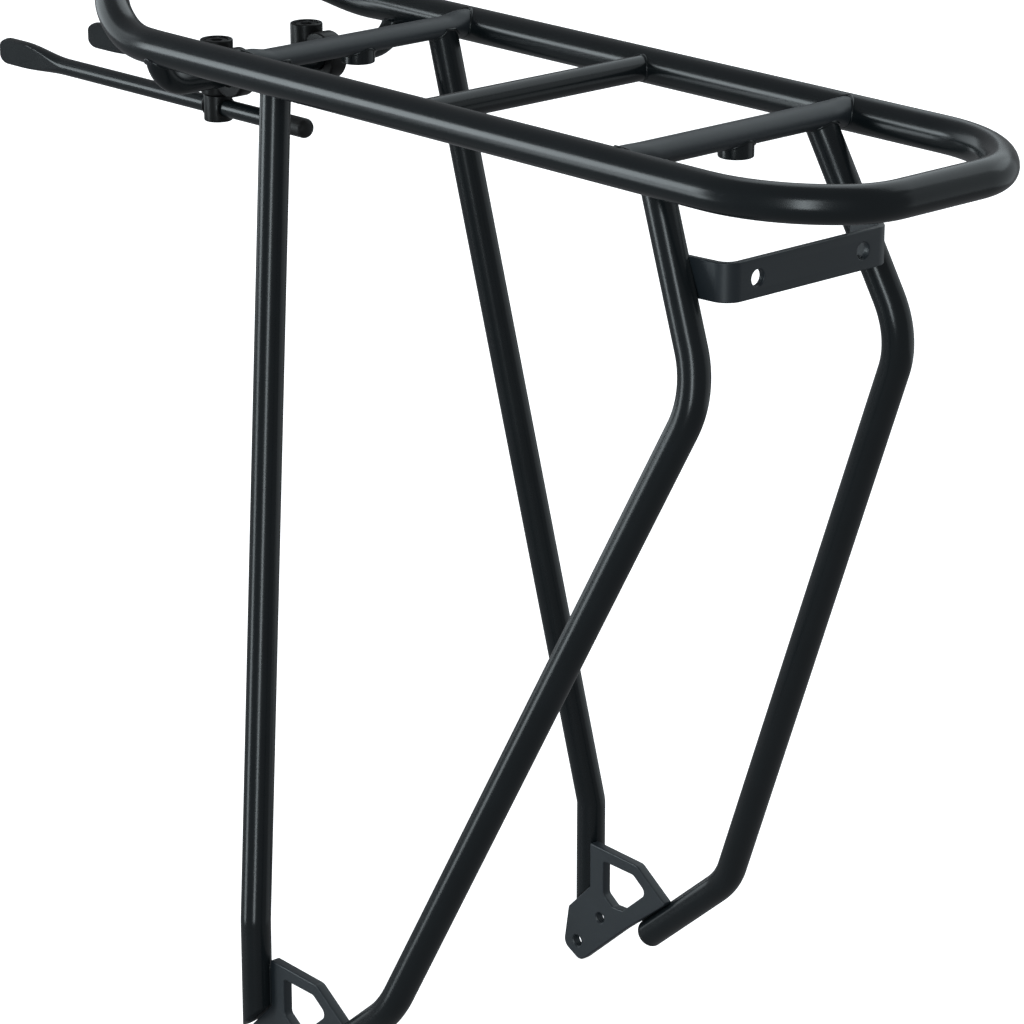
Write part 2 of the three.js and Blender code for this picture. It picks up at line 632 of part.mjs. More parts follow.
carrier.add(
  part('top_hoop', hoopSolid(RAIL_R), powderCoat),
  part('front_crossbar', coped(frontBar(0)), powderCoat),
  part('middle_crossbar', coped(middleBar()), powderCoat),
  part('rear_crossbar', coped(rearBar(0)), powderCoat),
  part('front_boss', boss(FRONT_BAR_Y, frontBar(GAP)), powderCoat),
  part('rear_boss', boss(REAR_BAR_Y, rearBar(GAP)), powderCoat),
  part('front_leg_right', frontLeg(), powderCoat),
  part('front_leg_left', mirrored(frontLeg()), powderCoat),
  part('rear_leg_right', rearLeg(), powderCoat),
  part('rear_leg_left', mirrored(rearLeg()), powderCoat),
  placePlug(part('leg_plug_right', legPlug(), rubber)),
  part('foot_plate_right', footPlate(), plateCoat),
  part('foot_plate_left', mirrored(footPlate()), plateCoat),
  part('light_bracket', lightBracket(), powderCoat),
  part('stay_tube', stayTube(), powderCoat),
  stayAssembly('right', CLAMP_X),
  stayAssembly('left', -CLAMP_X),
);

const leftPlug = placePlug(part('leg_plug_left', legPlug(), rubber));
leftPlug.position.x = -leftPlug.position.x;
carrier.add(leftPlug);

export default group;
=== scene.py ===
"""A tubular bicycle rear carrier in full detail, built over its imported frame.

Places are millimetres from the hoop's datum: x to the bicycle's right, y forward, z up,
with z = 0 on the rails' centre line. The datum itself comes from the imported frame.
"""

import math

import bmesh
import bpy
from bpy.props import FloatProperty, FloatVectorProperty, IntProperty, PointerProperty
from mathutils import Matrix, Vector


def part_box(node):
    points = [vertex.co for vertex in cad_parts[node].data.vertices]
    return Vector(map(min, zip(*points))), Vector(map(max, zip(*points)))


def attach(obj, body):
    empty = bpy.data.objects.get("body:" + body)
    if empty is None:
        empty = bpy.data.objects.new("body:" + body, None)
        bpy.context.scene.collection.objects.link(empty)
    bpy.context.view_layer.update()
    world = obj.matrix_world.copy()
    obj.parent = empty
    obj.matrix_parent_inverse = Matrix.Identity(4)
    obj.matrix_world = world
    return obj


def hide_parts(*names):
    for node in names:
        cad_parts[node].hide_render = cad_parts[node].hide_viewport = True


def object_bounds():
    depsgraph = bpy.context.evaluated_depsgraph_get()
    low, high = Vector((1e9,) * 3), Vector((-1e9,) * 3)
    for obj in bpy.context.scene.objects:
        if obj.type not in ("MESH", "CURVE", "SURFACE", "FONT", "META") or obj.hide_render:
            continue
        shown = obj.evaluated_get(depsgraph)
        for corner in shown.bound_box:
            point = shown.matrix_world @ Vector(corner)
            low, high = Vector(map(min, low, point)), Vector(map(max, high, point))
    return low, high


bl_info = {
    "name": "Rear Carrier",
    "version": (1, 0, 0),
    "blender": (4, 5, 0),
    "location": "3D View > Sidebar > Carrier",
    "description": "Builds a tubular bicycle rear carrier with adjustable stays",
    "category": "Add Mesh",
}

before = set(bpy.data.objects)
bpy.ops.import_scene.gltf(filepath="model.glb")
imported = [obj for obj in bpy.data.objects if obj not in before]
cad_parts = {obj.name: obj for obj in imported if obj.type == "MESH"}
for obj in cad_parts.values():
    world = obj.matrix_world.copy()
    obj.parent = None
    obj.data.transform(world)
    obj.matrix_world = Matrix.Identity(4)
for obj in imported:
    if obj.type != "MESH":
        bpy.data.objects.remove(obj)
CAD_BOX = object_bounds()

MM = 0.001
SIDES = ("right", "left")
UP = Vector((0, 0, 1))
ACROSS = Vector((1, 0, 0))
FORWARD = Vector((0, 1, 0))

# ---- fineness of the meshes ---------------------------------------------------------------------

EDGE_STEPS = 4  # facets of a plate's rounded edge
FOLD_STEPS = 12  # facets of the lamp bracket's bends
BEND_STEPS = 14  # facets of a leg's or the cross tube's bend
FOOT_BEND_STEPS = 8  # facets of the slight bend of a front leg
HOOP_BEND_STEPS = 12  # facets of each rear bend of the hoop
NOSE_STEPS = 36  # facets of half the front arch
PRESS_STEPS = 10  # stations where a crossbar turns from round to flat
PADDLE_STEPS = 20  # stations where a stay turns from round to flat
TIP_STEPS = 12  # stations of a stay's rounded tip
PLUG_STEPS = 12  # facets of a leg plug's dome
CAP_STEPS = 10  # facets of a stay cap's dome
HOLE_SIDES = 40
CLAMP_SIDES = 64
LIP_SIDES = 40
HEXAGON_CUTS = 7  # extra points on each flat of the screw's socket
BEAD_STATIONS = 72  # round a seam
BEAD_SIDES = 10
BEAD_STEP = 0.3  # millimetres between stations of a straight bead
TANGENT_NUDGE = 0.001  # radians either side of the turn where the arch's direction is taken

# ---- places -------------------------------------------------------------------------------------

MIDDLE_BAR_Y = -12.0
low_corner, high_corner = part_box("middle_crossbar")
DATUM = (low_corner + high_corner) / 2 - FORWARD * MIDDLE_BAR_Y * MM

RAIL_X = 56.5
HOOP_REAR_Y = -202.4
REAR_WIDE_RADIUS = 55.0
REAR_TIGHT_RADIUS = 29.0
REAR_WIDE_TURN = 0.88
NOSE_START_Y = 129.0
NOSE_LENGTH = 73.5
NOSE_BEND_Y = 139.4
NOSE_BEND_RADIUS = 59.0
NOSE_ANGLE = 0.3

BAR_Z = 1.2
FRONT_BAR_Y = 84.0
REAR_BAR_Y = -111.2
BAR_END = (5.7, 5.1)  # half width and half height at the rails
FRONT_BAR_MIDDLE = (6.6, 3.8)
REAR_BAR_MIDDLE = (6.6, 4.2)
REAR_BAR_LIFT = 0.5
PRESSED_BARS = [  # y, z and half sizes of the pressed middles
    (FRONT_BAR_Y, BAR_Z, FRONT_BAR_MIDDLE), (REAR_BAR_Y, BAR_Z + REAR_BAR_LIFT, REAR_BAR_MIDDLE),
]
BAR_INSIDE_RAIL = 3.0
PRESS_START = 6.0  # distance from the bar's end where the pressed middle begins
PRESS_LENGTH = 9.0

BOSS_RADIUS = 6.2
BOSS_HOLE = 2.5
BOSS_EASE = 0.5  # rounding of the lower edge
BOSS_BOTTOM_Z = -5.9
BOSS_TOP_Z = 0.6

FRONT_LEG = [(39.75, 82.6, 0.6), (85.5, 47.4, -311.5), (85.5, 47.4, -364.0)]
FRONT_LEG_RADII = [14.0]
FOOT_MITRE = (85.5, 41.9, -344.8)
REAR_LEG = [(39.65, -111.0, 1.2), (48.9, -145.2, -71.2), (85.5, -29.35, -321.2)]
REAR_LEG_RADII = [32.0, 36.0]
REAR_TAIL_DIRECTION = Vector((0, 0.7594, -0.6506))
REAR_TAIL = 54.8
PLUG_GAP = 0.3
PLUG_LENGTH = 3.3
PLUG_STRAIGHT = 0.5  # of that length, before the dome begins
PLUG_EASE = 0.2
PLUG_SPIGOT = 6.0
PLUG_SPIGOT_INSET = 1.4

PLATE_INNER_X = 79.6
PLATE_OUTLINE = [  # forward, up, corner radius
    (41.7, -326.4, 0.8), (15.0, -327.7, 4), (-1.05, -339.2, 0.8), (22.3, -357.8, 4),
    (47.1, -379.5, 4), (56.8, -374.6, 4), (54.1, -357.6, 1.5), (41.7, -345.2, 0.8),
]
PLATE_WINDOW = [
    (33.9, -331.9, 1.2), (17.2, -332.4, 3), (9.6, -338.0, 2.5), (22.9, -349.6, 1.5),
    (28.6, -349.8, 1.5), (33.9, -346.0, 2),
]
PLATE_HOLES = [(49.0, -371.2, 2.3), (35.8, -356.9, 2.1)]
THREAD_PITCH = 0.8
THREAD_DEPTH = 0.3
THREAD_CHAMFER = 0.5

BRACKET_REAR_Y = -147.1
BRACKET_HALF_WIDTH = 39.6
BRACKET_HALF_HEIGHT = 6.8
BRACKET_Z = -36.0
BRACKET_BEND = 7.0
BRACKET_TURN = 1.446  # radians each ear is folded forward
BRACKET_EAR = 13.0
BRACKET_CORNER = 1.0
BRACKET_HOLES = [(-25.0, 0.0, 2.9), (25.0, 0.0, 2.9)]

CROSS_TUBE_X = 57.5
CROSS_TUBE_Y = 129.5
CROSS_TUBE_Z = -14.1
CROSS_TUBE_TOP_Z = -1.0
CROSS_TUBE_BEND = 12.5

CLAMP_X = 21.75
CLAMP_TILT = -0.009
CLAMP_RADIUS = 9.1
CLAMP_HALF_WIDTH = 3.8
CLAMP_EASE = 0.7
CLAMP_PLAY = 0.25  # between the clamp's bore and the cross tube
CLAMP_CHAMFER = 0.3
POST_FORWARD = 10.5
POST_TOP = 11.2
POST_BOTTOM = -9.4
POST_RADIUS = 6.2
POST_EASE = 0.6
RECESS_RADIUS = 4.7  # in the post's top, round the screw's head
RECESS_DEPTH = 3.4
RECESS_FLARE = (0.3, 0.4)  # how far its mouth widens, and over what depth

SCREW_RADIUS = 4.2
SCREW_SEAT = POST_TOP - 3.1
SCREW_TOP = POST_TOP - 0.5
SCREW_EASE = 0.4
HEXAGON_RADIUS = 2.5
HEXAGON_DEPTH = 1.8

EYE_RADIUS = 5.4
EYE_TOP = POST_BOTTOM - 0.3
EYE_BOTTOM = -19.8
EYE_LOWER_EASE = 0.6
EYE_UPPER_EASE = 0.4
EYE_STUD_RADIUS = 2.8
EYE_STUD = 4.0
EYE_LIP = [  # outline: distance from the stay's surface, and from the eye's upright axis
    (0.05, 4.2), (1.1, 4.2), (1.1, 4.75), (0.9, 5.05), (0.5, 5.15), (0.15, 5.0),
]

STAY_Z = -14.5
STAY_REAR = -43.0  # from the cross tube's axis
STAY_CAP_OPEN = -27.5
STAY_TAPER = 104.5
STAY_PADDLE = 133.5
STAY_TIP = 147.4
STAY_IN_CAP = 8.0
PADDLE_RISE = 0.6
PADDLE_HALF_HEIGHT = 5.3
PADDLE_HALF_THICKNESS = 1.9
PADDLE_SWELL = 0.4  # widening before the sides are pressed flat
TIP_LENGTH = 5.0
TIP_HEIGHT = 0.3  # share of the paddle's height left at its very end
CAP_RADIUS = 3.7
CAP_DOME = 2.8
CAP_EASE = 0.35
CAP_BORE = 7.0

SEAM_RUN_UP = 25.0  # how far before the tube it meets the drawing of a seam starts
BEAD_RIPPLE = 0.1  # share of the bead's radius
BEAD_START = 0.2  # share of the full radius at a straight bead's ends
BEAD_TAPER = 8.0  # how steeply it gains the rest
PLATE_BEAD = 0.8  # radius of the beads on the foot plates, as a share of the others
PLATE_BEAD_INSIDE = 1.2  # from the plate's inner face to the inner beads
FOOT_BEAD = [(41.9, -328.0), (41.9, -345.0)]  # forward and up, along the front leg
TAIL_BEAD_START = 36.0  # along the rear leg's tail
TAIL_BEAD_RISE = 5.5  # from the tail's centre line

CAMERA_TARGET = (0.0, 0.08, -159.3)
CAMERA_DISTANCE = 1528.6
CAMERA_AZIMUTH = -42.262
CAMERA_ELEVATION = 18.695
CAMERA_LENS = 147.36

FLOOR_SIZE = 30.0
FLOOR_GLOW = 0.93
SKY_COLOUR = (0.93, 0.96, 1.0, 1.0)
SKY_STRENGTH = 0.22
LIGHT_COLOUR = (0.86, 0.96, 1.0)
LIGHT_DISTANCE = 2.6
SOFTBOXES = [  # azimuth and elevation, width and height, all in degrees, and brightness
    ("front left softbox", -46, 10, 24, 22, 7.0),
    ("low front left strip", -54, -10, 15, 16, 5.0),
    ("left strip", -125, 12, 11, 46, 8.5),
    ("front fill", -4, 10, 36, 36, 1.2),
    ("right overhead softbox", 82, 42, 64, 46, 1.1),
    ("rear right fill", 112, 5, 60, 60, 0.4),
]


def at(x, y, z):
    """The place x, y, z millimetres from the hoop's datum."""
    return DATUM + Vector((x, y, z)) * MM


def hung(y, z):
    """A matrix in the right clamp, y and z from the cross tube's axis, with the stay's slight fall."""
    origin = Matrix.Translation(at(CLAMP_X, CROSS_TUBE_Y, CROSS_TUBE_Z))
    return origin @ Matrix.Rotation(CLAMP_TILT, 4, "X") @ Matrix.Translation(Vector((0, y, z)) * MM)


def between(start, end, share):
    """The number this share of the way from start to end."""
    return start + (end - start) * share


def eased(value, start, end):
    """How far a value has gone from start to end, from 0 to 1, with a gentle start and stop."""
    share = min(max((value - start) / (end - start), 0), 1)
    return share * share * (3 - 2 * share)


# ---- settings ---------------------------------------------------------------------------------


def length(name, description, default):
    """A length in metres, given here in millimetres."""
    return FloatProperty(
        name=name, description=description, default=default * MM, min=0.0, unit="LENGTH", precision=5)


def colour(name, description, default):
    """A colour setting."""
    return FloatVectorProperty(
        name=name, description=description, default=default, size=3, min=0.0, max=1.0, subtype="COLOR")


class CarrierSizes(bpy.types.PropertyGroup):
    """Sizes of the carrier's stock and trim."""

    rail_radius: length("Rail radius", "Outer radius of the top hoop's tube", 6.5)
    leg_radius: length("Leg radius", "Outer radius of the legs' tube", 5.65)
    middle_bar_radius: length("Middle bar radius", "Outer radius of the middle crossbar", 4.65)
    cross_tube_radius: length("Cross tube radius", "Outer radius of the tube that carries the clamps", 4.6)
    stay_radius: length("Stay radius", "Radius of the adjustable stays", 3.3)
    plate_thickness: length("Plate thickness", "Thickness of the foot plates", 4.0)
    bracket_thickness: length("Bracket thickness", "Thickness of the lamp bracket's strip", 2.6)
    bead_radius: length("Bead radius", "Radius of the weld beads", 0.5)
    bead_pitch: length("Bead pitch", "Distance between the ripples of a weld bead", 1.2)
    edge_radius: length("Edge radius", "Rounding of cut plate edges under the coating", 0.45)
    tube_sides: IntProperty(
        name="Tube sides", description="Flat sides that make up each round tube",
        default=56, min=12, max=128)


class CarrierColours(bpy.types.PropertyGroup):
    """Colours of the carrier's finishes and of the floor."""

    coat: colour("Powder coat", "Satin black coating of the tubes", (0.0072, 0.0098, 0.0112))
    matt: colour("Matt powder coat", "Matt coating of the pressed crossbars", (0.012, 0.0168, 0.0208))
    plate: colour("Plate coat", "Matt coating of the flat parts", (0.0125, 0.0174, 0.0216))
    clamp: colour("Clamp", "Anodised clamps and eyes", (0.0075, 0.0077, 0.008))
    screw: colour("Screw", "Blackened steel of the clamp screws", (0.05, 0.05, 0.052))
    cap: colour("Caps", "Moulded end caps", (0.009, 0.009, 0.0092))
    floor: colour("Floor", "Studio floor", (0.93, 0.93, 0.93))


def colours():
    """The scene's colour settings."""
    return bpy.context.scene.carrier_colours


# ---- shaders ----------------------------------------------------------------------------------


class Signal:
    """One output socket, so that shader maths reads as arithmetic."""

    def __init__(self, finish, socket):
        self.finish = finish
        self.socket = socket

    def combine(self, operation, first, second):
        return self.finish.add("ShaderNodeMath", {"operation": operation}, {0: first, 1: second})

    def __add__(self, other):
        return self.combine("ADD", self, other)

    __radd__ = __add__

    def __mul__(self, other):
        return self.combine("MULTIPLY", self, other)

    __rmul__ = __mul__

class Finish:
    """A material under construction."""

    def __init__(self, name):
        self.material = bpy.data.materials.new(name)
        self.material.use_nodes = True
        self.tree = self.material.node_tree
        self.tree.nodes.clear()
        self.places = self.add("ShaderNodeTexCoord", output="Object")

    def add(self, kind, settings=None, inputs=None, output=0):
        """Adds a node, sets it, fills or links its sockets, and returns one of its outputs."""
        node = self.tree.nodes.new(kind)
        for name, value in (settings or {}).items():
            setattr(node, name, value)
        for name, value in (inputs or {}).items():
            if isinstance(value, Signal):
                self.tree.links.new(value.socket, node.inputs[name])
            else:
                node.inputs[name].default_value = value
        return Signal(self, node.outputs[output]) if node.outputs else node

    def speckle(self, size, detail=2.0):
        """Soft noise between 0 and 1 whose patches are about this many millimetres across."""
        return self.add(
            "ShaderNodeTexNoise", {}, {"Vector": self.places, "Scale": 1 / (size * MM), "Detail": detail})

    def blend(self, factor, first, second):
        """A colour between two others."""
        return self.add(
            "ShaderNodeMix", {"data_type": "RGBA"},
            {"Factor": factor, 6: (*first, 1.0), 7: (*second, 1.0)}, output=2)

    def surface(self, **sockets):
        """Finishes the material with one shader whose sockets are given by their labels."""
        inputs = {name.replace("_", " "): value for name, value in sockets.items()}
        shader = self.add("ShaderNodeBsdfPrincipled", {}, inputs)
        self.add("ShaderNodeOutputMaterial", {}, {"Surface": shader})
        return self.material


def scaled(tint, factor):
    """A colour made lighter or darker."""
    return tuple(min(channel * factor, 1.0) for channel in tint)


def coated(name, tint, roughness, peel_size, peel_depth, level):
    """Powder coating: fine orange peel, cloudy gloss and a trace of dust."""
    finish = Finish(name)
    peel = finish.speckle(peel_size, 1.0)
    clouds = finish.speckle(18.0)
    dust = finish.speckle(0.35, 3.0)
    bump = finish.add(
        "ShaderNodeBump", {}, {"Strength": 0.2, "Distance": peel_depth * MM, "Height": peel})
    return finish.surface(
        Base_Color=finish.blend(clouds * 0.6 + dust * 0.4, scaled(tint, 0.8), scaled(tint, 1.3)),
        Roughness=roughness - 0.04 + clouds * 0.06 + dust * 0.04,
        Specular_IOR_Level=level,
        Normal=bump,
    )


def moulded(name, tint):
    """Matt moulded plastic with a fine grain."""
    finish = Finish(name)
    grain = finish.speckle(0.5, 3.0)
    bump = finish.add("ShaderNodeBump", {}, {"Strength": 0.3, "Distance": 0.03 * MM, "Height": grain})
    return finish.surface(
        Base_Color=finish.blend(grain, scaled(tint, 0.85), scaled(tint, 1.2)),
        Roughness=0.5 + grain * 0.12,
        Specular_IOR_Level=0.35,
        Normal=bump,
    )


def blackened(name, tint):
    """Blackened steel with rubbed patches."""
    finish = Finish(name)
    rubbed = finish.speckle(1.6, 4.0)
    return finish.surface(
        Base_Color=finish.blend(rubbed, scaled(tint, 0.6), scaled(tint, 1.8)),
        Metallic=0.85,
        Roughness=0.3 + rubbed * 0.15,
    )


FINISHES = {
    "powder_coat": lambda: coated("satin powder coat", colours().coat, 0.22, 1.6, 0.012, 0.36),
    "matt_coat": lambda: coated("matt powder coat", colours().matt, 0.5, 0.6, 0.03, 0.6),
    "plate_coat": lambda: coated("plate coat", colours().plate, 0.42, 0.9, 0.02, 0.5),
    "clamp_coat": lambda: coated("clamp coat", colours().clamp, 0.34, 0.5, 0.012, 0.2),
    "screw_steel": lambda: blackened("blackened steel", colours().screw),
    "black_plastic": lambda: moulded("moulded cap", colours().cap),
}
MADE_FINISHES = {}


def finish_for(name):
    """A finish's material, made when it is first asked for."""
    if name not in MADE_FINISHES:
        MADE_FINISHES[name] = FINISHES[name]()
    return MADE_FINISHES[name]


# ---- drawing ----------------------------------------------------------------------------------


def bent_track(corners, radii, steps):
    """Straight runs through the corners with round bends between them, as (place, direction) stations."""
    points = [Vector(corner) for corner in corners]
    track = [(at(*points[0]), (points[1] - points[0]).normalized())]
    for before, corner, after, radius in zip(points, points[1:], points[2:], radii):
        into = (corner - before).normalized()
        out = (after - corner).normalized()
        turn = into.angle(out)
        side = (out - into * into.dot(out)).normalized()
        start = corner - into * radius * math.tan(turn / 2)
        centre = start + side * radius
        for k in range(steps + 1):
            angle = turn * k / steps
            spoke = into * math.sin(angle) - side * math.cos(angle)
            track.append((at(*(centre + spoke * radius)), into * math.cos(angle) + side * math.sin(angle)))
    track.append((at(*points[-1]), (points[-1] - points[-2]).normalized()))
    return track


def section_frame(place, direction, out):
    """Matrix with a section's x axis along out and its z axis along the direction of travel."""
    z = direction.normalized()
    x = (out - z * out.dot(z)).normalized()
    turned = Matrix((x, z.cross(x), z)).transposed()
    return Matrix.Translation(place) @ turned.to_4x4()


def carried(track, out):
    """Frames along a track, with the first out direction carried along without twist."""
    frames = []
    for place, direction in track:
        frames.append(section_frame(place, direction, out))
        out = frames[-1].col[0].xyz
    return frames


def edges_of(verts):
    """The edges that meet these points, each once and always in the same order."""
    return list(dict.fromkeys(edge for vert in verts for edge in vert.link_edges))


def grown(bm, ring):
    """Extrudes a ring of edges in place and returns the new ring's points and edges."""
    geometry = bmesh.ops.extrude_edge_only(bm, edges=ring)["geom"]
    verts = [item for item in geometry if isinstance(item, bmesh.types.BMVert)]
    edges = [item for item in geometry if isinstance(item, bmesh.types.BMEdge)]
    fresh = set(verts)
    return verts, [edge for edge in edges if fresh.issuperset(edge.verts)]


def sweep(bm, frames, radius, sides, stretch=None, closed=False):
    """Extrudes a ring through the frames; stretch gives the ring's two scales at each of them."""
    stretch = stretch or [(1, 1)] * len(frames)
    placed = [place @ Matrix.Diagonal((a, b, 1, 1)) for place, (a, b) in zip(frames, stretch)]
    circle = bmesh.ops.create_circle(bm, cap_ends=False, radius=radius, segments=sides, matrix=placed[0])
    first = ring = edges_of(circle["verts"])
    for before, after in zip(placed, placed[1:]):
        verts, ring = grown(bm, ring)
        bmesh.ops.transform(bm, matrix=after @ before.inverted(), verts=verts)
    if not closed:
        bmesh.ops.edgeloop_fill(bm, edges=first)
        bmesh.ops.edgeloop_fill(bm, edges=ring)


def lathe(bm, profile, place, steps=48, closed=True):
    """Spins a profile of (radius, height) in millimetres round the place's z axis."""
    verts = [bm.verts.new(place @ Vector((radius * MM, 0, height * MM))) for radius, height in profile]
    edges = [bm.edges.new(pair) for pair in zip(verts, verts[1:])]
    if closed and (profile[0][0] > 0 or profile[-1][0] > 0):
        edges.append(bm.edges.new((verts[-1], verts[0])))
    bmesh.ops.spin(
        bm, geom=verts + edges, cent=place.translation, axis=place.col[2].xyz, dvec=(0, 0, 0),
        angle=2 * math.pi, steps=steps, use_merge=True)


def arc(x, y, radius, start, end, steps=5):
    """Points of a circular arc between two angles in degrees."""
    turns = [math.radians(start + (end - start) * k / steps) for k in range(steps + 1)]
    return [Vector((x + radius * math.cos(turn), y + radius * math.sin(turn))) for turn in turns]


def drilled(holes):
    """Closed loops for round holes, each given as x, y and radius."""
    return [arc(*hole, 0, 360, HOLE_SIDES)[:-1] for hole in holes]


def dome(radius, base, height, steps):
    """A domed end's profile, from its rim at the base's height to the middle of its top."""
    turns = [math.pi / 2 * k / steps for k in range(steps)]
    return [(radius * math.cos(turn), base + height * math.sin(turn)) for turn in turns] + [
        (0, base + height)]


def rounded(corners, steps=6):
    """The corners of an outline, each rounded by its own radius, as a list of 2-D points."""
    points = []
    for i, (x, y, radius) in enumerate(corners):
        here = Vector((x, y))
        before = (Vector(corners[i - 1][:2]) - here).normalized()
        after = (Vector(corners[(i + 1) % len(corners)][:2]) - here).normalized()
        half = before.angle(after) / 2
        centre = here + (before + after).normalized() * radius / math.sin(half)
        reach = radius / math.tan(half)
        start, end = here + before * reach - centre, here + after * reach - centre
        points += [centre + start.lerp(end, k / steps).normalized() * radius for k in range(steps + 1)]
    return points


def inward(loop, hole):
    """For each point of a closed loop, the direction from its edge into the sheet."""
    pairs = list(zip(loop, loop[1:] + loop[:1]))
    anticlockwise = sum(a.cross(b) for a, b in pairs) > 0
    sign = 1 if anticlockwise != hole else -1
    normals = []
    for k in range(len(loop)):
        along = (loop[(k + 1) % len(loop)] - loop[k - 1]).normalized()
        normals.append(along.orthogonal() * sign)
    return normals


def thread(thickness):
    """Depths and insets down a tapped hole, chamfered at both ends."""
    levels = [(0, THREAD_CHAMFER), (THREAD_CHAMFER, 0)]
    turns = int((thickness - 2 * THREAD_CHAMFER) / THREAD_PITCH)
    pitch = (thickness - 2 * THREAD_CHAMFER) / turns
    for k in range(turns):
        start = THREAD_CHAMFER + k * pitch
        levels += [(start + pitch / 2, THREAD_DEPTH), (start + pitch, 0)]
    return levels + [(thickness, THREAD_CHAMFER)]


def number_below(vert, order):
    """The number, in the last ring, of the point that this one was extruded from."""
    return next(order[other] for edge in vert.link_edges if (other := edge.other_vert(vert)) in order)


def sheet(bm, loops, lift, thickness, edge, tapped=()):
    """A flat sheet with rounded edges between closed 2-D loops, the outer one first.

    lift places a point of the sheet, given as x, y and depth in millimetres, and tapped
    holds the numbers of the loops that are threaded holes.
    """
    turns = [math.pi / 2 * k / EDGE_STEPS for k in range(EDGE_STEPS + 1)]
    front = [(edge * (1 - math.cos(turn)), edge * (1 - math.sin(turn))) for turn in turns]
    round_edge = front + [(thickness - depth, inset) for depth, inset in reversed(front)]
    fronts, backs = [], []
    for number, loop in enumerate(loops):
        into = inward(loop, number > 0)
        levels = thread(thickness) if number in tapped else round_edge
        placed = [[lift(*(point + way * inset), depth) for point, way in zip(loop, into)]
                  for depth, inset in levels]
        verts = [bm.verts.new(place) for place in placed[0]]
        ring = [bm.edges.new(pair) for pair in zip(verts, verts[1:] + verts[:1])]
        fronts += ring
        order = {vert: k for k, vert in enumerate(verts)}
        for row in placed[1:]:
            verts, ring = grown(bm, ring)
            order = {vert: number_below(vert, order) for vert in verts}
            for vert, k in order.items():
                vert.co = row[k]
        backs += ring
    for rim in (fronts, backs):
        for border in rim:
            border.smooth = False
        bmesh.ops.triangle_fill(bm, use_beauty=True, edges=rim)
    bmesh.ops.recalc_face_normals(bm, faces=bm.faces)


def handed(bm, side):
    """A piece drawn for the right-hand side, flipped where it goes on the left."""
    if side == "left":
        bmesh.ops.scale(bm, vec=(-1, 1, 1), verts=bm.verts)
    return bm


def twinned(bm):
    """Adds the left-hand half to a right-hand half."""
    bmesh.ops.mirror(bm, geom=bm.verts[:] + bm.edges[:] + bm.faces[:], merge_dist=0.01 * MM, axis="X")
    return bm


def piece(name, bm, body, slot, *nodes, finish=None, sharper_than=40):
    """Closes a mesh, shades it and hangs it on its body in place of its CAD nodes."""
    bmesh.ops.remove_doubles(bm, verts=bm.verts, dist=0.002 * MM)
    bmesh.ops.recalc_face_normals(bm, faces=bm.faces)
    name = name.replace(" ", "-")
    for face in bm.faces:
        face.smooth = True
    for edge in bm.edges:
        if edge.is_manifold and edge.calc_face_angle() > math.radians(sharper_than):
            edge.smooth = False
    mesh = bpy.data.meshes.new(name)
    bm.to_mesh(mesh)
    bm.free()
    mesh.materials.append(finish_for(finish or slot))
    made = bpy.data.objects.new(name, mesh)
    bpy.context.scene.collection.objects.link(made)
    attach(made, body)
    if nodes:
        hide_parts(*nodes)
    return made


# ---- operators --------------------------------------------------------------------------------


class BuildStep(bpy.types.Operator):
    """Shared base of the carrier's operators."""

    bl_options = {"REGISTER", "UNDO"}

    def execute(self, context):
        self.build(context.scene.carrier_sizes)
        return {"FINISHED"}


class TopHoop(BuildStep):
    """Bend the closed top hoop with its raised front arch"""

    bl_idname = "carrier.top_hoop"
    bl_label = "Top Hoop"

    def arch(self, turn):
        """A place on the front arch, from the rail at 0 to the middle at a quarter turn."""
        x = RAIL_X * math.cos(turn)
        past = NOSE_START_Y + NOSE_LENGTH * math.sin(turn) - NOSE_BEND_Y
        if past <= 0:
            return Vector((x, past + NOSE_BEND_Y, 0))
        angle = min(past / NOSE_BEND_RADIUS, NOSE_ANGLE)
        straight = max(past - NOSE_BEND_RADIUS * NOSE_ANGLE, 0)
        y = NOSE_BEND_Y + NOSE_BEND_RADIUS * math.sin(angle) + straight * math.cos(angle)
        return Vector((x, y, NOSE_BEND_RADIUS * (1 - math.cos(angle)) + straight * math.sin(angle)))

    def track(self):
        """The right-hand half of the hoop, from the middle of its rear to the middle of its front."""
        wide, slack = REAR_WIDE_TURN, REAR_WIDE_RADIUS - REAR_TIGHT_RADIUS
        tight_x = RAIL_X - slack * (1 - math.cos(wide)) - REAR_TIGHT_RADIUS
        tight_y = HOOP_REAR_Y + REAR_TIGHT_RADIUS
        quarter = math.pi / 2
        bends = [
            (tight_x, tight_y, REAR_TIGHT_RADIUS, 0, quarter - wide),
            (RAIL_X - REAR_WIDE_RADIUS, tight_y + slack * math.sin(wide), REAR_WIDE_RADIUS,
             quarter - wide, quarter),
        ]
        stations = [(at(0, HOOP_REAR_Y, 0), ACROSS)]
        for x, y, radius, start, end in bends:
            for k in range(HOOP_BEND_STEPS + 1):
                turn = between(start, end, k / HOOP_BEND_STEPS)
                spoke = Vector((math.sin(turn), -math.cos(turn), 0))
                stations.append((at(x, y, 0) + spoke * radius * MM, UP.cross(spoke)))
        stations.append((at(RAIL_X, NOSE_START_Y, 0), FORWARD))
        for k in range(1, NOSE_STEPS + 1):
            turn = quarter * k / NOSE_STEPS
            direction = self.arch(turn + TANGENT_NUDGE) - self.arch(turn - TANGENT_NUDGE)
            stations.append((at(*self.arch(turn)), direction.normalized()))
        stations[-1] = (at(0, *self.arch(quarter).yz), -ACROSS)
        return stations

    def build(self, size):
        bm = bmesh.new()
        sweep(bm, carried(self.track(), UP), size.rail_radius, size.tube_sides, closed=True)
        piece("top hoop", twinned(bm), "rack", "powder_coat", "top_hoop")


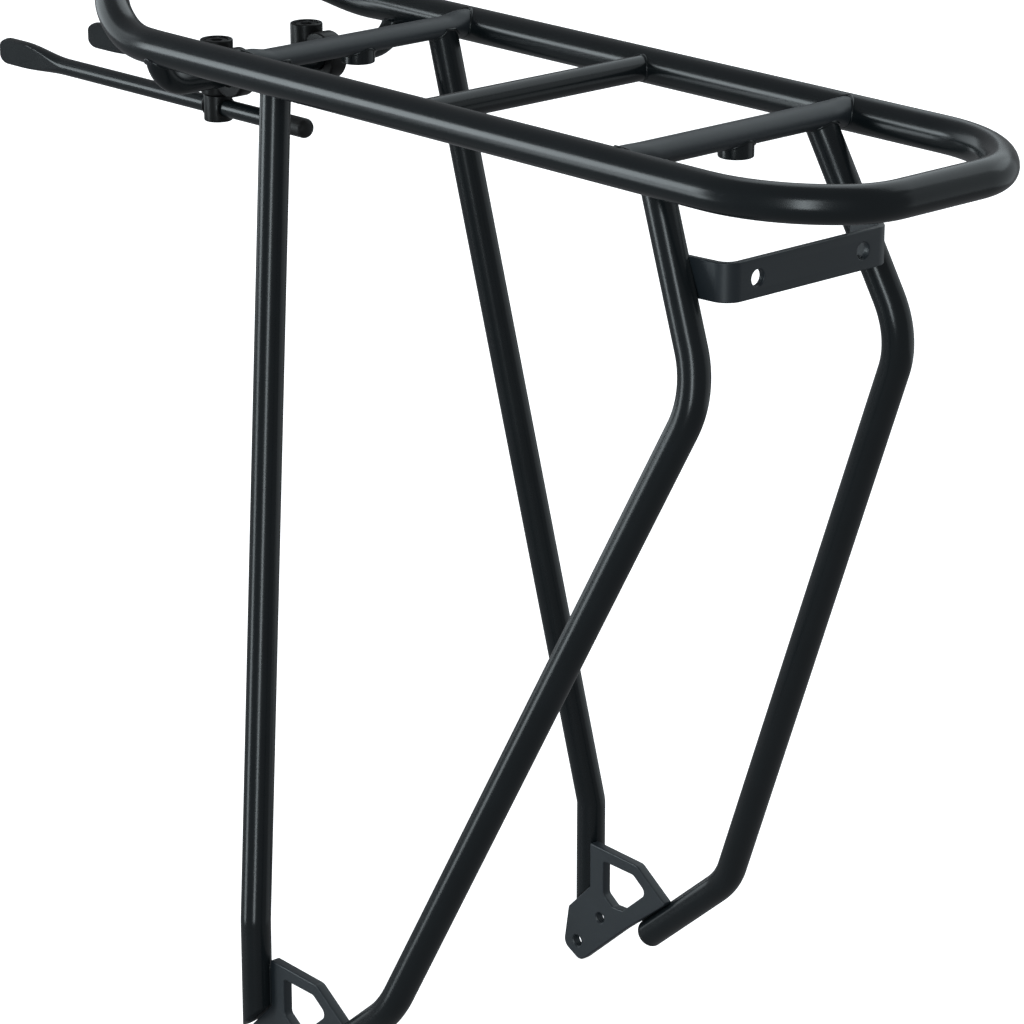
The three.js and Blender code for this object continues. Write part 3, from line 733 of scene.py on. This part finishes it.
class Crossbars(BuildStep):
    """Fit the pressed front and rear crossbars and the round middle one"""

    bl_idname = "carrier.crossbars"
    bl_label = "Crossbars"

    def bar(self, sides, y, z, lift, end, middle):
        """A bar between the rails whose middle is pressed to another section."""
        marks = [PRESS_START + PRESS_LENGTH * k / PRESS_STEPS for k in range(PRESS_STEPS + 1)]
        half = [BAR_INSIDE_RAIL - RAIL_X] + [mark - RAIL_X for mark in marks]
        frames, stretch = [], []
        for x in half + [-x for x in reversed(half)]:
            pressed = eased(RAIL_X - abs(x), PRESS_START, PRESS_START + PRESS_LENGTH)
            frames.append(section_frame(at(x, y, z + lift * pressed), ACROSS, FORWARD))
            stretch.append([between(a, b, pressed) for a, b in zip(end, middle)])
        bm = bmesh.new()
        sweep(bm, frames, MM, sides, stretch)
        return bm

    def build(self, size):
        plain = (size.middle_bar_radius / MM,) * 2
        bars = (
            ("front", "matt_coat", (FRONT_BAR_Y, BAR_Z, 0, BAR_END, FRONT_BAR_MIDDLE)),
            ("middle", "powder_coat", (MIDDLE_BAR_Y, 0, 0, plain, plain)),
            ("rear", "matt_coat", (REAR_BAR_Y, BAR_Z, REAR_BAR_LIFT, BAR_END, REAR_BAR_MIDDLE)),
        )
        for name, finish, shape in bars:
            bm = self.bar(size.tube_sides, *shape)
            piece(f"{name} crossbar", bm, "rack", "powder_coat", f"{name}_crossbar", finish=finish)


class Bosses(BuildStep):
    """Turn the two threaded mudguard bosses"""

    bl_idname = "carrier.bosses"
    bl_label = "Mudguard Bosses"

    def build(self, size):
        bottom, top = BOSS_BOTTOM_Z, BOSS_TOP_Z
        tapped = [(BOSS_HOLE + inset, bottom + depth) for depth, inset in thread(top - bottom)]
        edge = arc(BOSS_RADIUS - BOSS_EASE, bottom + BOSS_EASE, BOSS_EASE, -90, 0)
        profile = [*reversed(tapped), *edge, (BOSS_RADIUS, top)]
        for name, y in (("front", FRONT_BAR_Y), ("rear", REAR_BAR_Y)):
            bm = bmesh.new()
            lathe(bm, profile, Matrix.Translation(at(0, y, 0)))
            piece(f"{name} boss", bm, "rack", "powder_coat", f"{name}_boss")


class Legs(BuildStep):
    """Bend the four legs and close the rear ones with domed plugs"""

    bl_idname = "carrier.legs"
    bl_label = "Legs"

    def front(self, size):
        """Right front leg, its foot cut off at 45 degrees."""
        bm = bmesh.new()
        track = bent_track(FRONT_LEG, FRONT_LEG_RADII, FOOT_BEND_STEPS)
        sweep(bm, carried(track, ACROSS), size.leg_radius, size.tube_sides)
        cut = bmesh.ops.bisect_plane(
            bm, geom=bm.verts[:] + bm.edges[:] + bm.faces[:], plane_co=at(*FOOT_MITRE),
            plane_no=(0, 1, 1), clear_inner=True)["geom_cut"]
        bmesh.ops.edgeloop_fill(bm, edges=[item for item in cut if isinstance(item, bmesh.types.BMEdge)])
        return bm

    def rear_end(self, distance):
        """A place on the rear leg's straight tail."""
        return Vector(REAR_LEG[-1]) + REAR_TAIL_DIRECTION * distance

    def rear(self, size):
        """Right rear leg."""
        bm = bmesh.new()
        track = bent_track([*REAR_LEG, self.rear_end(REAR_TAIL)], REAR_LEG_RADII, BEND_STEPS)
        sweep(bm, carried(track, ACROSS), size.leg_radius, size.tube_sides)
        return bm

    def plug(self, size):
        """Right plug: a dome with a hidden spigot."""
        bm = bmesh.new()
        radius = size.leg_radius / MM
        spigot = radius - PLUG_SPIGOT_INSET
        profile = [
            (0, -PLUG_SPIGOT), (spigot, -PLUG_SPIGOT), (spigot, 0),
            (radius - PLUG_EASE, 0), (radius, PLUG_EASE),
            *dome(radius, PLUG_STRAIGHT, PLUG_LENGTH - PLUG_STRAIGHT, PLUG_STEPS),
        ]
        place = section_frame(at(*self.rear_end(REAR_TAIL + PLUG_GAP)), REAR_TAIL_DIRECTION, ACROSS)
        lathe(bm, profile, place)
        return bm

    def build(self, size):
        parts = (
            ("front leg", self.front, "powder_coat", "front_leg"),
            ("rear leg", self.rear, "powder_coat", "rear_leg"),
            ("leg plug", self.plug, "black_plastic", "leg_plug"),
        )
        for side in SIDES:
            for name, make, slot, node in parts:
                piece(f"{name} {side}", handed(make(size), side), "rack", slot, f"{node}_{side}")


class FootPlates(BuildStep):
    """Cut the two foot plates with their windows and bolt holes"""

    bl_idname = "carrier.foot_plates"
    bl_label = "Foot Plates"

    def build(self, size):
        cuts = [rounded(PLATE_OUTLINE), rounded(PLATE_WINDOW)]
        loops = cuts + drilled(PLATE_HOLES)
        for side in SIDES:
            bm = bmesh.new()
            sheet(bm, loops, lambda y, z, depth: at(PLATE_INNER_X + depth, y, z),
                  size.plate_thickness / MM, size.edge_radius / MM, range(len(cuts), len(loops)))
            piece(f"foot plate {side}", handed(bm, side), "rack", "plate_coat", f"foot_plate_{side}")


class LampBracket(BuildStep):
    """Fold the lamp bracket from a strip with two bolt holes"""

    bl_idname = "carrier.lamp_bracket"
    bl_label = "Lamp Bracket"

    def folded(self, place, flat, neutral):
        """Where a place of the unfolded strip goes when both ears are folded forward."""
        past = max(abs(place.x) - flat, 0)
        turn = min(past / neutral, BRACKET_TURN)
        straight = past - neutral * turn
        radius = BRACKET_BEND - place.y
        x = min(abs(place.x), flat) + radius * math.sin(turn) + straight * math.cos(turn)
        y = BRACKET_REAR_Y + BRACKET_BEND - radius * math.cos(turn) + straight * math.sin(turn)
        return at(math.copysign(x, place.x), y, BRACKET_Z + place.z)

    def build(self, size):
        thickness = size.bracket_thickness / MM
        flat, tall = BRACKET_HALF_WIDTH - BRACKET_BEND, BRACKET_HALF_HEIGHT
        neutral = BRACKET_BEND - thickness / 2
        long = flat + neutral * BRACKET_TURN + BRACKET_EAR
        corners = [(-long, -tall), (long, -tall), (long, tall), (-long, tall)]
        outline = rounded([(*corner, BRACKET_CORNER) for corner in corners])
        bm = bmesh.new()
        sheet(bm, [outline, *drilled(BRACKET_HOLES)], lambda x, z, depth: Vector((x, depth, z)),
              thickness, size.edge_radius / MM)
        for k in range(FOLD_STEPS + 1):
            for side in (-1, 1):
                x = side * (flat + neutral * BRACKET_TURN * k / FOLD_STEPS)
                bmesh.ops.bisect_plane(
                    bm, geom=bm.verts[:] + bm.edges[:] + bm.faces[:], plane_co=(x, 0, 0), plane_no=ACROSS)
        for vert in bm.verts:
            vert.co = self.folded(vert.co, flat, neutral)
        piece("lamp bracket", bm, "rack", "plate_coat", "light_bracket")


class CrossTube(BuildStep):
    """Bend the flat U tube that hangs under the rails and carries the clamps"""

    bl_idname = "carrier.cross_tube"
    bl_label = "Cross Tube"

    def build(self, size):
        x, y, z, top = CROSS_TUBE_X, CROSS_TUBE_Y, CROSS_TUBE_Z, CROSS_TUBE_TOP_Z
        corners = [(-x, y, top), (-x, y, z), (x, y, z), (x, y, top)]
        bm = bmesh.new()
        track = bent_track(corners, [CROSS_TUBE_BEND] * 2, BEND_STEPS)
        sweep(bm, carried(track, FORWARD), size.cross_tube_radius, size.tube_sides)
        piece("cross tube", bm, "rack", "powder_coat", "stay_tube")


class Clamps(BuildStep):
    """Make the clamps, their socket screws and the eyes for the stays"""

    bl_idname = "carrier.clamps"
    bl_label = "Clamps"

    def body(self, size):
        """Right clamp: a ring round the cross tube and a post in front of it."""
        bm = bmesh.new()
        half, ease, chamfer = CLAMP_HALF_WIDTH, CLAMP_EASE, CLAMP_CHAMFER
        bore = size.cross_tube_radius / MM + CLAMP_PLAY
        ring = [
            *arc(CLAMP_RADIUS - ease, ease - half, ease, -90, 0),
            *arc(CLAMP_RADIUS - ease, half - ease, ease, 0, 90),
            (bore + chamfer, half), (bore, half - chamfer), (bore, chamfer - half), (bore + chamfer, -half),
        ]
        lathe(bm, ring, hung(0, 0) @ Matrix.Rotation(math.pi / 2, 4, "Y"), CLAMP_SIDES)
        floor, (flare, lip) = POST_TOP - RECESS_DEPTH, RECESS_FLARE
        side, ease = POST_RADIUS - POST_EASE, POST_EASE
        post = [
            (0, floor), (RECESS_RADIUS, floor), (RECESS_RADIUS, POST_TOP - lip),
            (RECESS_RADIUS + flare, POST_TOP),
            *arc(side, POST_TOP - ease, ease, 90, 0), *arc(side, POST_BOTTOM + ease, ease, 0, -90),
            (0, POST_BOTTOM),
        ]
        lathe(bm, post, hung(POST_FORWARD, 0))
        return bm

    def screw(self, size):
        """Right clamp screw with a hexagon socket."""
        bm = bmesh.new()
        place = hung(POST_FORWARD, 0)
        edge = arc(SCREW_RADIUS - SCREW_EASE, SCREW_TOP - SCREW_EASE, SCREW_EASE, 0, 90)
        lathe(bm, [(0, SCREW_SEAT), (SCREW_RADIUS, SCREW_SEAT), *edge], place, closed=False)
        bmesh.ops.remove_doubles(bm, verts=bm.verts, dist=0.002 * MM)
        rim = [edge for edge in bm.edges if edge.is_boundary]
        lip = bmesh.ops.create_circle(
            bm, cap_ends=False, radius=HEXAGON_RADIUS * MM, segments=6,
            matrix=place @ Matrix.Translation((0, 0, SCREW_TOP * MM)))
        bmesh.ops.subdivide_edges(bm, edges=edges_of(lip["verts"]), cuts=HEXAGON_CUTS)
        flats = [edge for edge in bm.edges if not edge.link_faces]
        bmesh.ops.bridge_loops(bm, edges=rim + flats)
        verts, floor = grown(bm, flats)
        bmesh.ops.translate(bm, vec=place.col[2].xyz * -HEXAGON_DEPTH * MM, verts=verts)
        bmesh.ops.edgeloop_fill(bm, edges=floor)
        return bm

    def eye(self, size):
        """Right eye: the barrel below the clamp that the stay slides through."""
        bm = bmesh.new()
        low, high = EYE_LOWER_EASE, EYE_UPPER_EASE
        stud = [(EYE_STUD_RADIUS, EYE_TOP), (EYE_STUD_RADIUS, EYE_TOP + EYE_STUD), (0, EYE_TOP + EYE_STUD)]
        barrel = [
            (0, EYE_BOTTOM), *arc(EYE_RADIUS - low, EYE_BOTTOM + low, low, -90, 0),
            *arc(EYE_RADIUS - high, EYE_TOP - high, high, 0, 90), *stud,
        ]
        lathe(bm, barrel, hung(POST_FORWARD, 0))
        mouth = size.stay_radius / MM
        for turn in (math.pi / 2, -math.pi / 2):
            lip = [(mouth + outward, height) for outward, height in EYE_LIP]
            lathe(bm, lip, hung(POST_FORWARD, STAY_Z) @ Matrix.Rotation(turn, 4, "X"), LIP_SIDES)
        return bm

    def build(self, size):
        parts = (
            ("clamp body", self.body, "clamp", "clamp_coat", "clamp_body"),
            ("clamp screw", self.screw, "clamp", "screw_steel", "clamp_screw"),
            ("stay eye", self.eye, "eye", "clamp_coat", "stay_eye"),
        )
        for side in SIDES:
            for name, make, body, slot, node in parts:
                piece(f"{name} {side}", handed(make(size), side), f"{side}_{body}", slot, f"{node}_{side}")


class Stays(BuildStep):
    """Draw the adjustable stays with their flattened fronts and rear caps"""

    bl_idname = "carrier.stays"
    bl_label = "Stays"

    def marks(self):
        """Distances along the stay at which its section is drawn."""
        tip = STAY_TIP - TIP_LENGTH
        taper = [between(STAY_TAPER, STAY_PADDLE, k / PADDLE_STEPS) for k in range(PADDLE_STEPS + 1)]
        rounding = [tip + TIP_LENGTH * math.sin(math.pi / 2 * k / TIP_STEPS) for k in range(TIP_STEPS)]
        return [STAY_CAP_OPEN - STAY_IN_CAP, STAY_CAP_OPEN + 0.5, *taper, *rounding]

    def rod(self, size):
        """Right stay, drawn tall towards its front and then pressed flat."""
        radius = size.stay_radius / MM
        frames, stretch = [], []
        for y in self.marks():
            share = eased(y, STAY_TAPER, STAY_PADDLE)
            ending = max((y - STAY_TIP + TIP_LENGTH) / TIP_LENGTH, 0)
            rounding = between(TIP_HEIGHT, 1, math.sqrt(1 - ending ** 2))
            tall = between(radius, PADDLE_HALF_HEIGHT, share) * rounding
            frames.append(hung(y, STAY_Z + PADDLE_RISE * share) @ Matrix.Rotation(-math.pi / 2, 4, "X"))
            stretch.append((radius * (1 + PADDLE_SWELL * share), tall))
        bm = bmesh.new()
        sweep(bm, frames, MM, size.tube_sides, stretch)
        centre = CLAMP_X * MM + DATUM.x
        for vert in bm.verts:
            y = (vert.co.y - DATUM.y) / MM - CROSS_TUBE_Y
            flat = between(radius, PADDLE_HALF_THICKNESS, eased(y, STAY_TAPER, STAY_PADDLE)) * MM
            vert.co.x = centre + min(max(vert.co.x - centre, -flat), flat)
        return bm

    def cap(self, size):
        """Right rear cap, open towards the front."""
        bm = bmesh.new()
        bore, end = size.stay_radius / MM, STAY_CAP_OPEN - STAY_REAR
        profile = [
            *reversed(dome(CAP_RADIUS, end - CAP_DOME, CAP_DOME, CAP_STEPS)),
            *arc(CAP_RADIUS - CAP_EASE, CAP_EASE, CAP_EASE, 0, -90),
            (bore, 0), (bore, CAP_BORE), (0, CAP_BORE),
        ]
        lathe(bm, profile, hung(STAY_CAP_OPEN, STAY_Z) @ Matrix.Rotation(math.pi / 2, 4, "X"))
        return bm

    def build(self, size):
        parts = (
            ("stay", self.rod, "powder_coat", "stay"),
            ("stay cap", self.cap, "black_plastic", "stay_cap"),
        )
        for side in SIDES:
            for name, make, slot, node in parts:
                piece(f"{name} {side}", handed(make(size), side), f"{side}_stay", slot, f"{node}_{side}")


class WeldBeads(BuildStep):
    """Lay rippled weld beads round every joint of the frame"""

    bl_idname = "carrier.weld_beads"
    bl_label = "Weld Beads"

    def saddle(self, start, along, halves, hub, across):
        """Where an oval tube drawn from start along a direction meets another tube through hub.

        across holds the met tube's half sizes on x, y and z, with None along its own axis.
        The seam comes back as (place, spoke) pairs.
        """
        along = Vector(along).normalized()
        side = along.orthogonal().normalized() if abs(along.z) > 0.5 else FORWARD
        other = along.cross(side)
        weight = Vector([1 / half if half else 0 for half in across])
        rays = []
        for k in range(BEAD_STATIONS):
            turn = 2 * math.pi * k / BEAD_STATIONS
            spoke = side * halves[0] * math.cos(turn) + other * halves[1] * math.sin(turn)
            away = (Vector(start) + spoke - Vector(hub)) * weight
            pace = along * weight
            a, b, c = pace.dot(pace), 2 * away.dot(pace), away.dot(away) - 1
            reach = (-b - math.sqrt(max(b * b - 4 * a * c, 0))) / (2 * a)
            rays.append((Vector(start) + spoke + along * reach, spoke.normalized()))
        return rays

    def ripple(self, distance, pitch):
        """Relative thickness of a bead at a distance along it."""
        return 1 + BEAD_RIPPLE * abs(math.sin(math.pi * distance / pitch))

    def round_bead(self, bm, size, rays):
        """A closed bead through a saddle."""
        count = len(rays)
        travelled = 0.0
        frames, stretch = [], []
        for k in range(count + 1):
            place, spoke = rays[k % count]
            direction = rays[(k + 1) % count][0] - rays[(k - 1) % count][0]
            frames.append(section_frame(at(*place), direction, spoke))
            swell = self.ripple(travelled if k < count else 0.0, size.bead_pitch / MM)
            stretch.append((swell, swell))
            travelled += (rays[(k + 1) % count][0] - place).length
        sweep(bm, frames, size.bead_radius, BEAD_SIDES, stretch, closed=True)

    def straight_bead(self, bm, size, start, end):
        """A bead between two places, tapering at both ends."""
        start, end = Vector(start), Vector(end)
        run = (end - start).length
        steps = int(run / BEAD_STEP)
        frames, stretch = [], []
        for k in range(steps + 1):
            t = k / steps
            taper = min(1, BEAD_START + BEAD_TAPER * min(t, 1 - t))
            swell = self.ripple(t * run, size.bead_pitch / MM) * taper
            frames.append(section_frame(at(*start.lerp(end, t)), end - start, ACROSS))
            stretch.append((swell, swell))
        sweep(bm, frames, size.bead_radius * PLATE_BEAD, BEAD_SIDES, stretch)

    def bar_seams(self, size):
        """Seams where the crossbars meet the right rail."""
        rail = size.rail_radius / MM
        plain = (size.middle_bar_radius / MM,) * 2
        bars = ((FRONT_BAR_Y, BAR_Z, BAR_END), (REAR_BAR_Y, BAR_Z, BAR_END), (MIDDLE_BAR_Y, 0, plain))
        return [
            self.saddle((RAIL_X - SEAM_RUN_UP, y, z), ACROSS, halves, (RAIL_X, y, 0), (rail, None, rail))
            for y, z, halves in bars
        ]

    def leg_seams(self, size):
        """Seams where the right legs meet the pressed crossbars."""
        halves = (size.leg_radius / MM,) * 2
        seams = []
        for leg, (y, z, section) in zip((FRONT_LEG, REAR_LEG), PRESSED_BARS):
            top, below = Vector(leg[0]), Vector(leg[1])
            start = top + (below - top).normalized() * SEAM_RUN_UP
            seams.append(self.saddle(start, top - below, halves, (0, y, z), (None, *section)))
        return seams

    def tube_seam(self, size):
        """The seam where the cross tube's end meets the right rail."""
        rail, halves = size.rail_radius / MM, (size.cross_tube_radius / MM,) * 2
        start = (CROSS_TUBE_X, CROSS_TUBE_Y, -SEAM_RUN_UP)
        return self.saddle(start, UP, halves, (RAIL_X, 0, 0), (rail, None, rail))

    def boss_seams(self):
        """Seams where the bosses meet the pressed crossbars."""
        return [
            self.saddle((0, y, -SEAM_RUN_UP), UP, (BOSS_RADIUS,) * 2, (0, y, z), (None, *section))
            for y, z, section in PRESSED_BARS
        ]

    def plate_beads(self, bm, size):
        """Beads that join both faces of the right foot plate to its legs."""
        inner, outer = PLATE_INNER_X + PLATE_BEAD_INSIDE, PLATE_INNER_X + size.plate_thickness / MM
        rise = Vector((0, -REAR_TAIL_DIRECTION.z, REAR_TAIL_DIRECTION.y)) * TAIL_BEAD_RISE
        tail = [Vector(REAR_LEG[-1]) + REAR_TAIL_DIRECTION * distance + rise
                for distance in (TAIL_BEAD_START, REAR_TAIL)]
        for x in (inner, outer):
            self.straight_bead(bm, size, *[(x, *place) for place in FOOT_BEAD])
            self.straight_bead(bm, size, *[(x, *place.yz) for place in tail])

    def build(self, size):
        bm = bmesh.new()
        for rays in (*self.bar_seams(size), *self.leg_seams(size), self.tube_seam(size)):
            self.round_bead(bm, size, rays)
        self.plate_beads(bm, size)
        twinned(bm)
        for rays in self.boss_seams():
            self.round_bead(bm, size, rays)
        piece("weld beads", bm, "rack", "powder_coat", sharper_than=80)


class Stage(BuildStep):
    """Set the floor, the soft lights and the camera"""

    bl_idname = "carrier.stage"
    bl_label = "Stage"

    def floor(self):
        """A wide pale floor under the lowest point of the carrier."""
        bm = bmesh.new()
        bmesh.ops.create_grid(bm, x_segments=1, y_segments=1, size=FLOOR_SIZE)
        bmesh.ops.translate(bm, vec=(0, 0, CAD_BOX[0].z), verts=bm.verts)
        mesh = bpy.data.meshes.new("floor")
        bm.to_mesh(mesh)
        bm.free()
        finish = Finish("studio floor")
        tint = tuple(colours().floor)
        mesh.materials.append(finish.surface(
            Base_Color=(*tint, 1.0), Roughness=0.9, Specular_IOR_Level=0.1,
            Emission_Color=(*tint, 1.0), Emission_Strength=FLOOR_GLOW))
        made = bpy.data.objects.new("floor", mesh)
        made.visible_glossy = made.visible_diffuse = made.visible_shadow = False
        bpy.context.scene.collection.objects.link(made)

    def softbox(self, name, azimuth, elevation, width, height, brightness):
        """A soft light that fills width by height degrees of the carrier's surroundings.

        Azimuth 0 is ahead of the carrier and 90 on its right; brightness is that of its face.
        """
        turn, rise = math.radians(azimuth), math.radians(elevation)
        way = Vector((math.sin(turn) * math.cos(rise), math.cos(turn) * math.cos(rise), math.sin(rise)))
        light = bpy.data.lights.new(name, "AREA")
        light.shape = "RECTANGLE"
        light.size = 2 * LIGHT_DISTANCE * math.tan(math.radians(width / 2))
        light.size_y = 2 * LIGHT_DISTANCE * math.tan(math.radians(height / 2))
        light.energy = brightness * math.pi * light.size * light.size_y
        light.color = LIGHT_COLOUR
        made = bpy.data.objects.new(name, light)
        made.location = at(0, 0, CAMERA_TARGET[2]) + way * LIGHT_DISTANCE
        made.rotation_euler = way.to_track_quat("Z", "Y").to_euler()
        bpy.context.scene.collection.objects.link(made)

    def camera(self):
        """The camera, looking down at the carrier from its left rear."""
        azimuth, elevation = math.radians(CAMERA_AZIMUTH), math.radians(CAMERA_ELEVATION)
        back = Vector((math.sin(azimuth) * math.cos(elevation), -math.cos(azimuth) * math.cos(elevation),
                       math.sin(elevation)))
        lens = bpy.data.cameras.new("camera")
        lens.sensor_width = 36.0
        lens.lens = CAMERA_LENS
        lens.clip_end = 100.0
        made = bpy.data.objects.new("camera", lens)
        made.location = at(*CAMERA_TARGET) + back * CAMERA_DISTANCE * MM
        made.rotation_euler = back.to_track_quat("Z", "Y").to_euler()
        bpy.context.scene.collection.objects.link(made)
        bpy.context.scene.camera = made

    def build(self, size):
        scene = bpy.context.scene
        world = scene.world or bpy.data.worlds.new("studio")
        scene.world = world
        world.use_nodes = True
        sky = world.node_tree.nodes["Background"]
        sky.inputs["Color"].default_value = SKY_COLOUR
        sky.inputs["Strength"].default_value = SKY_STRENGTH
        scene.view_settings.view_transform = "Standard"
        self.floor()
        for softbox in SOFTBOXES:
            self.softbox(*softbox)
        self.camera()


STEPS = (
    TopHoop, Crossbars, Bosses, Legs, FootPlates, LampBracket, CrossTube,
    Clamps, Stays, WeldBeads, Stage,
)


class CarrierPanel(bpy.types.Panel):
    """Sidebar panel with the carrier's settings and steps."""

    bl_idname = "VIEW3D_PT_carrier"
    bl_label = "Rear Carrier"
    bl_space_type = "VIEW_3D"
    bl_region_type = "UI"
    bl_category = "Carrier"

    def draw(self, context):
        for settings in (context.scene.carrier_sizes, context.scene.carrier_colours):
            column = self.layout.column()
            for name in settings.bl_rna.properties.keys():
                if name not in {"rna_type", "name"}:
                    column.prop(settings, name)
        column = self.layout.column()
        for step in STEPS:
            column.operator(step.bl_idname)


CLASSES = (CarrierSizes, CarrierColours, *STEPS, CarrierPanel)


def register():
    """Adds the classes and the scene's settings."""
    for item in CLASSES:
        bpy.utils.register_class(item)
    bpy.types.Scene.carrier_sizes = PointerProperty(type=CarrierSizes)
    bpy.types.Scene.carrier_colours = PointerProperty(type=CarrierColours)


def unregister():
    """Takes them away again."""
    del bpy.types.Scene.carrier_colours
    del bpy.types.Scene.carrier_sizes
    for item in reversed(CLASSES):
        bpy.utils.unregister_class(item)


def main():
    """Registers the add-on and builds the carrier and its stage."""
    register()
    for step in STEPS:
        group, name = step.bl_idname.split(".")
        getattr(getattr(bpy.ops, group), name)()


if __name__ == "__main__":
    main()
